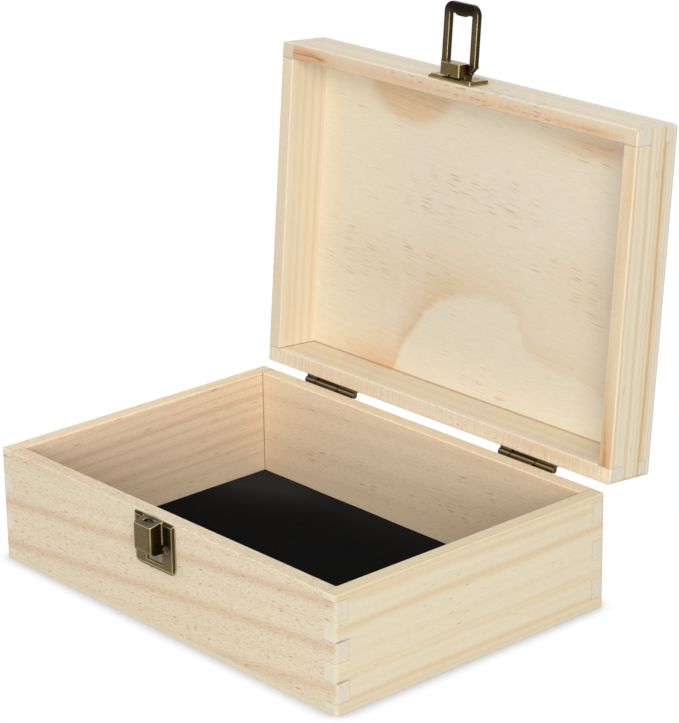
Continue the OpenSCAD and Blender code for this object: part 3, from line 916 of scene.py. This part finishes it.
def eased_copy(node: str, radius: float, material: bpy.types.Material, body: str,
               least: float = 34.0) -> None:
    """Replaces a metal node by a copy whose outer edges are eased, as pressing leaves them.

    The face attribute "rubbed" is 1 on the eased edges.

    Args:
        node: The node's name.
        radius: Width of the easing on each side of an edge in millimetres.
        material: The finish.
        body: The body that the copy moves with.
        least: Edges that turn less than this many degrees stay as they are.
    """
    mesh = frame["nodes"][node].data.copy()
    mesh.name = f"{node}_eased"
    shape = bmesh.new()
    shape.from_mesh(mesh)
    bmesh.ops.remove_doubles(shape, verts=shape.verts, dist=0.002 * MM)
    bmesh.ops.dissolve_limit(shape, angle_limit=math.radians(1.0), verts=shape.verts,
                             edges=shape.edges, use_dissolve_boundaries=False, delimit=set())
    bend = math.radians(least)
    sharp = [e for e in shape.edges if len(e.link_faces) == 2 and e.is_convex
             and e.calc_face_angle(0.0) > bend]
    # this attribute marks the eased strips, where the brass finish paints its gold highlight
    painted_glint = shape.faces.layers.float.new("painted_glint")
    made = bmesh.ops.bevel(shape, geom=sharp, offset=radius * MM, offset_type="OFFSET", segments=2,
                           profile=0.5, affect="EDGES", clamp_overlap=False, material=-1)
    strips = set(made["faces"])
    for face in shape.faces:
        face.smooth = True
        face[painted_glint] = 1.0 if face in strips else 0.0
    for edge in shape.edges:
        kinds = {face in strips for face in edge.link_faces}
        edge.smooth = len(kinds) == 1 and edge.calc_face_angle(0.0) < math.radians(35.0)
    shape.to_mesh(mesh)
    shape.free()
    mesh.materials.clear()
    mesh.materials.append(material)
    piece = bpy.data.objects.new(f"{node}_eased", mesh)
    bpy.context.collection.objects.link(piece)
    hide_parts(node)
    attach(piece, body)
    LOG.info("eased %s", node)


@dataclass(frozen=True)
class BaseBox:
    """The lower box: four finger-jointed pine boards on a plywood panel."""

    joints: Joints = Joints(rim=52.1, first=2.9, pitch=8.8, up=-1.0)

    def front(self) -> PineFinish:
        """Describes the front board, with three pinkish bands that climb to the right.

        Returns:
            The board's finish.
        """
        rings = (Ring(-3.6, 2.6, 0.6, 0.14), Ring(8.0, 1.6, 0.2, 0.11), Ring(18.5, 2.3, 0.7, 0.10),
                 Ring(28.5, 1.4, 0.2, 0.10), Ring(37.7, 2.3, 0.75, 0.097),
                 Ring(46.0, 1.2, 0.2, 0.09))
        clusters = (Spot(-55, 27, 45, 9, 0.25), Spot(60, 36, 38, 8, 0.22), Spot(0, 8, 60, 5, 0.12))
        stains = (Spot(-84, 50, 24, 1.8, 0.5), Spot(20, 19, 40, 4, 0.25), Spot(60, 3, 40, 4, 0.3))
        # painted shade on the wood behind the catch, seen through its window and slot, and two
        # small dark marks by the rim's left end
        shade_and_marks = (Spot(MIDDLE, 39.0, 9, 3.6, 0.9), Spot(MIDDLE, 33.0, 11, 4.2, 0.66),
                 Spot(MIDDLE, 49.5, 5, 2.6, 0.9), Spot(-109.2, 50.4, 0.5, 1.8, 0.5),
                 Spot(-107.4, 48.8, 1.6, 0.4, 0.5))
        timber = Timber(pale=rgb(221, 208, 182), ring=rgb(210, 182, 153),
                        stain=rgb(216, 188, 158), tick=rgb(166, 132, 98))
        return PineFinish("pine_base_front", Seat.BASE, Axis.ACROSS, -HALF_DEEP, self.joints,
                          rings, TickFinish(0.20, clusters=clusters, seed=1.0), stains=stains,
                          shade_and_marks=shade_and_marks, lean=0.10, tilt=-0.5, grain=0.38, seed=1.0, timber=timber)

    def right(self) -> PineFinish:
        """Describes the right board, pale yellow with straight orange bands.

        Returns:
            The board's finish.
        """
        rings = (Ring(3.0, 0.8, 0.35), Ring(5.6, 1.5, 0.75), Ring(11.0, 1.4, 0.2),
                 Ring(15.0, 1.1, 0.4), Ring(17.4, 1.1, 0.4), Ring(20.6, 1.0, 0.12),
                 Ring(24.5, 1.6, 0.3), Ring(30.0, 1.4, 0.12), Ring(37.2, 2.0, 0.75, 0.006),
                 Ring(42.0, 1.2, 0.2), Ring(47.4, 1.7, 0.6, -0.019), Ring(51.3, 1.3, 0.6))
        clusters = (Spot(0, 31, 40, 4, 0.15), Spot(-20, 22, 30, 4, 0.15), Spot(10, 41, 40, 3, 0.12))
        # painted shadows in the gaps under two fingers by the front corner
        gap_shadows = tuple(Spot(-74.0, level, 4.5, 0.5, 0.5) for level in (14.3, 31.9))
        timber = Timber(pale=rgb(229, 219, 193), ring=rgb(224, 198, 155),
                        rim=rgb(220, 202, 164), tick=rgb(190, 160, 122))
        return PineFinish("pine_base_right", Seat.BASE, Axis.DEEP, HALF_WIDE, self.joints, rings,
                          TickFinish(0.08, clusters=clusters, seed=5.0), shade_and_marks=gap_shadows, tilt=-0.4,
                          grain=0.09, seed=21.0, timber=timber)

    def back(self) -> PineFinish:
        """Describes the back board, tan with clusters of reddish ticks.

        Returns:
            The board's finish.
        """
        rings = (Ring(13.0, 3.2, 0.2, 0.05), Ring(24.0, 4.0, 0.25, 0.05),
                 Ring(36.0, 2.6, 0.15, 0.05), Ring(46.0, 2.6, 0.3, 0.05))
        clusters = (Spot(-80, 45.5, 24, 3, 0.45), Spot(-38, 47, 16, 2.4, 0.4),
                    Spot(-70, 25, 32, 5, 0.4), Spot(-24, 18, 10, 3, 0.4), Spot(20, 20, 24, 5, 0.4),
                    Spot(35, 35, 18, 3, 0.4), Spot(50, 31, 12, 3, 0.4))
        # pale, on the inner face, is painted warmer and brighter than far, for light bounced round
        # the inside of the box
        timber = Timber(pale=rgb(243, 220, 188), ring=rgb(222, 190, 154),
                        stain=rgb(214, 184, 148), rim=rgb(230, 214, 184),
                        tick=rgb(138, 86, 58), far=rgb(231, 218, 193))
        ticks = TickFinish(0.06, long=8.5, wide=0.5, clusters=clusters, seed=9.0)
        return PineFinish("pine_base_back", Seat.BASE, Axis.ACROSS, HALF_DEEP - WALL, self.joints,
                          rings, ticks, stains=(Spot(80, 18, 60, 26, 0.35),), lean=0.05,
                          grain=0.21, seed=41.0, timber=timber)

    def left(self) -> PineFinish:
        """Describes the left board, pinkish tan with thin reddish lines.

        Returns:
            The board's finish.
        """
        rings = (Ring(11.0, 2.0, 0.2, 0.02), Ring(17.0, 1.0, 0.25, 0.02),
                 Ring(22.0, 1.8, 0.3, 0.02), Ring(29.0, 2.0, 0.25, 0.022),
                 Ring(34.5, 0.9, 0.3, 0.024), Ring(40.0, 1.6, 0.4, 0.025),
                 Ring(45.0, 0.9, 0.25, 0.026), Ring(49.5, 0.8, 0.25, 0.028))
        # pale, on the inner face, is painted warmer and brighter than far, for light bounced round
        # the inside of the box
        timber = Timber(pale=rgb(245, 221, 190), ring=rgb(211, 168, 133),
                        rim=rgb(226, 212, 182), tick=rgb(160, 108, 80),
                        far=rgb(231, 218, 193))
        ticks = TickFinish(0.16, long=8.0, wide=0.55, seed=13.0)
        return PineFinish("pine_base_left", Seat.BASE, Axis.DEEP, WALL - HALF_WIDE, self.joints,
                          rings, ticks, lean=0.022, grain=0.17, seed=61.0, timber=timber)

    def dress(self) -> None:
        """Dresses the four boards and the panel."""
        boards = {"front": self.front(), "right": self.right(), "back": self.back(),
                  "left": self.left()}
        for side, finish in boards.items():
            dress(f"base_{side}_wall", finish.make())
        panel = VeneerFinish("plywood_base", Seat.BASE, 0.0, seed=80.0, glue=0.25,
                             edge=rgb(229, 216, 190))
        dress("base_floor_panel", panel.make())


@dataclass(frozen=True)
class LidBox:
    """The lid: four lower boards under a plywood panel."""

    panel_under: float = 74.1
    joints: Joints = Joints(rim=52.5, first=8.8, pitch=8.8, up=1.0)

    def right(self) -> PineFinish:
        """Describes the right board with its strong orange band.

        Returns:
            The board's finish.
        """
        rings = (Ring(53.6, 0.8, 0.5), Ring(57.0, 1.2, 0.25), Ring(61.4, 1.2, 0.5),
                 Ring(65.0, 0.8, 0.3), Ring(67.4, 0.8, 0.45), Ring(70.2, 1.2, 1.0),
                 Ring(72.6, 0.6, 0.4))
        rim = (Spot(70, -3.5, 26, 4.0, 1.0), Spot(-50, -2.0, 30, 2.0, 0.5),
               Spot(0, -5.5, 90, 1.4, 0.45))
        timber = Timber(pale=rgb(232, 222, 197), ring=rgb(214, 180, 132),
                        stain=rgb(218, 180, 134), tick=rgb(176, 138, 98))
        return PineFinish("pine_lid_right", Seat.LID, Axis.DEEP, HALF_WIDE, self.joints, rings,
                          TickFinish(0.08, long=7.0, seed=17.0), rim_stains=rim, tilt=-0.3,
                          seed=101.0, timber=timber)

    def left(self) -> PineFinish:
        """Describes the left board, warm yellow with faint bands.

        Returns:
            The board's finish.
        """
        rings = (Ring(57.0, 1.2, 0.35), Ring(61.0, 1.2, 0.4), Ring(66.0, 1.2, 0.45),
                 Ring(71.0, 1.3, 0.5))
        timber = Timber(pale=rgb(230, 217, 195), ring=rgb(220, 194, 153),
                        rim=rgb(226, 206, 172))
        return PineFinish("pine_lid_left", Seat.LID, Axis.DEEP, WALL - HALF_WIDE, self.joints,
                          rings, TickFinish(0.05, long=6.0, seed=21.0), tilt=0.6, seed=121.0,
                          timber=timber)

    def back(self) -> PineFinish:
        """Describes the back board, beige with saw chatter.

        Returns:
            The board's finish.
        """
        rings = (Ring(58.0, 2.0, 0.3), Ring(66.0, 2.2, 0.3))
        rim = (Spot(75, 3.0, 30, 3.0, 0.5), Spot(-60, 4.0, 40, 2.5, 0.35))
        timber = Timber(pale=rgb(238, 225, 202), ring=rgb(222, 197, 164),
                        stain=rgb(222, 188, 146), rim=rgb(227, 210, 182),
                        tick=rgb(170, 128, 88))
        return PineFinish("pine_lid_back", Seat.LID, Axis.ACROSS, HALF_DEEP - WALL, self.joints,
                          rings, TickFinish(0.08, seed=25.0), rim_stains=rim, chatter=0.3,
                          grain=0.08, seed=141.0, timber=timber)

    def front(self) -> PineFinish:
        """Describes the front board, very pale outside, with a red-brown patch on its rim.

        Returns:
            The board's finish.
        """
        rings = (Ring(57.0, 2.0, 0.3), Ring(70.0, 2.5, 0.25))
        rim = (Spot(-94, 4.8, 15, 3.6, 1.35), Spot(-40, 4.5, 40, 3.0, 0.35),
               Spot(30, 4.5, 50, 2.4, 0.5), Spot(85, 5.0, 20, 2.0, 0.6))
        near = (Spot(26, 54, 30, 4, 0.8), Spot(20, 62, 40, 40, 0.15))
        timber = Timber(pale=rgb(228, 218, 198), ring=rgb(218, 190, 156),
                        stain=rgb(216, 172, 130), deep=rgb(168, 108, 80),
                        rim=rgb(214, 190, 156), tick=rgb(150, 90, 62))
        return PineFinish("pine_lid_front", Seat.LID, Axis.ACROSS, -HALF_DEEP, self.joints, rings,
                          TickFinish(0.06, long=6.0, clusters=near, seed=29.0), rim_stains=rim,
                          grain=0.06, seed=161.0, timber=timber)

    def dress(self) -> None:
        """Dresses the four boards and the panel."""
        boards = {"right": self.right(), "left": self.left(), "back": self.back(),
                  "front": self.front()}
        for side, finish in boards.items():
            dress(f"lid_{side}_wall", finish.make())
        panel = VeneerFinish("plywood_lid", Seat.LID, self.panel_under, seed=180.0)
        dress("lid_top_panel", panel.make())


@dataclass(frozen=True)
class FeltLiner:
    """The black felt sheet that lies on the bottom."""

    cell: float = 1.6
    round_edge: float = 0.35
    waves: float = 0.12

    def build(self) -> None:
        """Builds the sheet in the place of its plain solid."""
        low, high = (Vector(corner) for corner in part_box("felt_liner"))
        size, middle = high - low, (high + low) / 2
        cols, rows = (round(size[i] / (self.cell * MM)) for i in (0, 1))
        shape = bmesh.new()
        bmesh.ops.create_grid(shape, x_segments=cols, y_segments=rows, size=0.5)
        bmesh.ops.scale(shape, vec=(size.x, size.y, 1.0), verts=shape.verts)
        lifted = bmesh.ops.extrude_face_region(shape, geom=shape.faces[:])
        top = [v for v in lifted["geom"] if isinstance(v, bmesh.types.BMVert)]
        bmesh.ops.translate(shape, vec=(0.0, 0.0, size.z - self.waves * MM), verts=top)
        bmesh.ops.translate(shape, vec=(middle.x, middle.y, low.z), verts=shape.verts)
        bmesh.ops.recalc_face_normals(shape, faces=shape.faces)
        rim = [e for e in shape.edges if e.calc_face_angle(0.0) > 1.0]
        bmesh.ops.bevel(shape, geom=rim, offset=self.round_edge * MM, offset_type="OFFSET",
                        segments=3, profile=0.5, affect="EDGES", material=-1)
        for vert in shape.verts:
            if vert.co.z > low.z + size.z * 0.8:
                swell = noise.noise(vert.co * 45.0) + 0.4 * noise.noise(vert.co * 160.0)
                vert.co.z += self.waves * MM * max(-1.0, min(1.0, swell))
        for face in shape.faces:
            face.smooth = True
        mesh = bpy.data.meshes.new("felt_sheet")
        shape.to_mesh(mesh)
        shape.free()
        mesh.materials.append(FeltFinish().make())
        piece = bpy.data.objects.new("felt_sheet", mesh)
        bpy.context.collection.objects.link(piece)
        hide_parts("felt_liner")
        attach(piece, "base")
        LOG.info("built the felt sheet")


@dataclass(frozen=True)
class Hardware:
    """Hinges, catch, hasp and swing loop in antique brass."""

    screw_out: float = 7.9
    hinge_out: float = 63.6
    joints: Numbers = (-9.4, 5.6)
    loop_edges: Numbers = (-10.4, 6.8)
    plates: float = 0.22
    small: float = 0.12

    def build(self) -> None:
        """Builds every metal piece with eased edges."""
        self._hinges()
        self._catch()
        self._hasp()

    def _hinges(self) -> None:
        """Builds the two hinges, with painted shade between knuckles and painted highlights."""
        # painted shade in the gaps between the knuckles, and painted highlights along the barrels
        joints = tuple(Spot(MIDDLE + side * self.hinge_out + joint, 52.3, 0.45, 9.0, 0.85)
                       for side in (-1, 1) for joint in self.joints)
        finish = BrassFinish("brass_hinge", Seat.BASE, front=0.55, up=0.35, down=0.1, side=0.3,
                             turn=Turn.BARREL, shine=0.45, outline=0.8, shade_spots=joints, seed=15.0,
                             lit_face=rgb(148, 120, 78), gold=rgb(204, 180, 132)).make()
        for node in ("hinge_left_base_leaf", "hinge_right_base_leaf", "hinge_left_pin",
                     "hinge_right_pin", "hinge_base_screws"):
            eased_copy(node, self.small, finish, "base")
        for node in ("hinge_left_lid_leaf", "hinge_right_lid_leaf", "hinge_lid_screws"):
            eased_copy(node, self.small, finish, "lid")

    def _catch(self) -> None:
        """Builds the catch with painted shade by its housing, round its screws and in its slot."""
        # painted shade beside the housing, round the screws and in the slot
        sides = (MIDDLE - self.screw_out, MIDDLE + self.screw_out)
        shade_spots = (*(Spot(MIDDLE + out, 46.0, 2.6, 7.5, 0.8) for out in (-9.0, 9.0)),
                   *(Spot(side, 39.4, 2.8, 2.8, 0.95) for side in sides))
        slot = Spot(MIDDLE, 51.03, 3.2, 0.6, 1.0)
        finish = BrassFinish("brass_catch", Seat.BASE, front=0.68, sloped=0.7,
                             shade_spots=(*shade_spots, slot), seed=3.0).make()
        eased_copy("catch_plate", self.plates, finish, "base", least=24.0)
        screw = BrassFinish("brass_screw", Seat.BASE, front=0.6, seed=5.0,
                            lit_face=rgb(112, 96, 64), gold=rgb(214, 196, 150)).make()
        eased_copy("catch_screws", self.small, screw, "base")

    def _hasp(self) -> None:
        """Builds hasp plate, screws and swing loop, with painted shade at the loop's end bar."""
        # the hasp's front faces are painted up towards gold, a painted highlight
        finish = BrassFinish("brass_hasp", Seat.LID, front=0.6, down=0.68, up=0.4, side=0.35,
                             turn=Turn.SIDEWAYS, front_glint=0.5, seed=7.0,
                             lit_face=rgb(124, 101, 62)).make()
        eased_copy("hasp_plate", self.plates, finish, "lid", least=24.0)
        eased_copy("hasp_screws", self.small, finish, "lid")
        # painted shade on the loop's end bar and along the edges of its legs
        bar = (Spot(MIDDLE, 239.5, 15.0, 4.4, 1.2),
               *(Spot(MIDDLE + side, 222.0, 0.5, 40.0, 0.85) for side in self.loop_edges))
        loop = BrassFinish("brass_loop", Seat.LOOP, front=0.55, up=0.1, down=0.3, side=0.1,
                           shine=0.6, outline=0.85, shade_spots=bar, seed=11.0,
                           lit_face=rgb(122, 101, 67), gold=rgb(208, 190, 144)).make()
        eased_copy("hasp_loop", self.small, loop, "loop")


def main() -> None:
    """Builds the studio and dresses the box, piece by piece."""
    logging.basicConfig(level=logging.INFO, format="%(name)s: %(message)s")
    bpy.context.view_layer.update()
    studio = Studio()
    studio.camera()
    studio.floor()
    studio.light()
    bpy.context.scene.view_settings.view_transform = "Standard"
    BaseBox().dress()
    FeltLiner().build()
    LidBox().dress()
    Hardware().build()


if __name__ == "__main__":
    main()
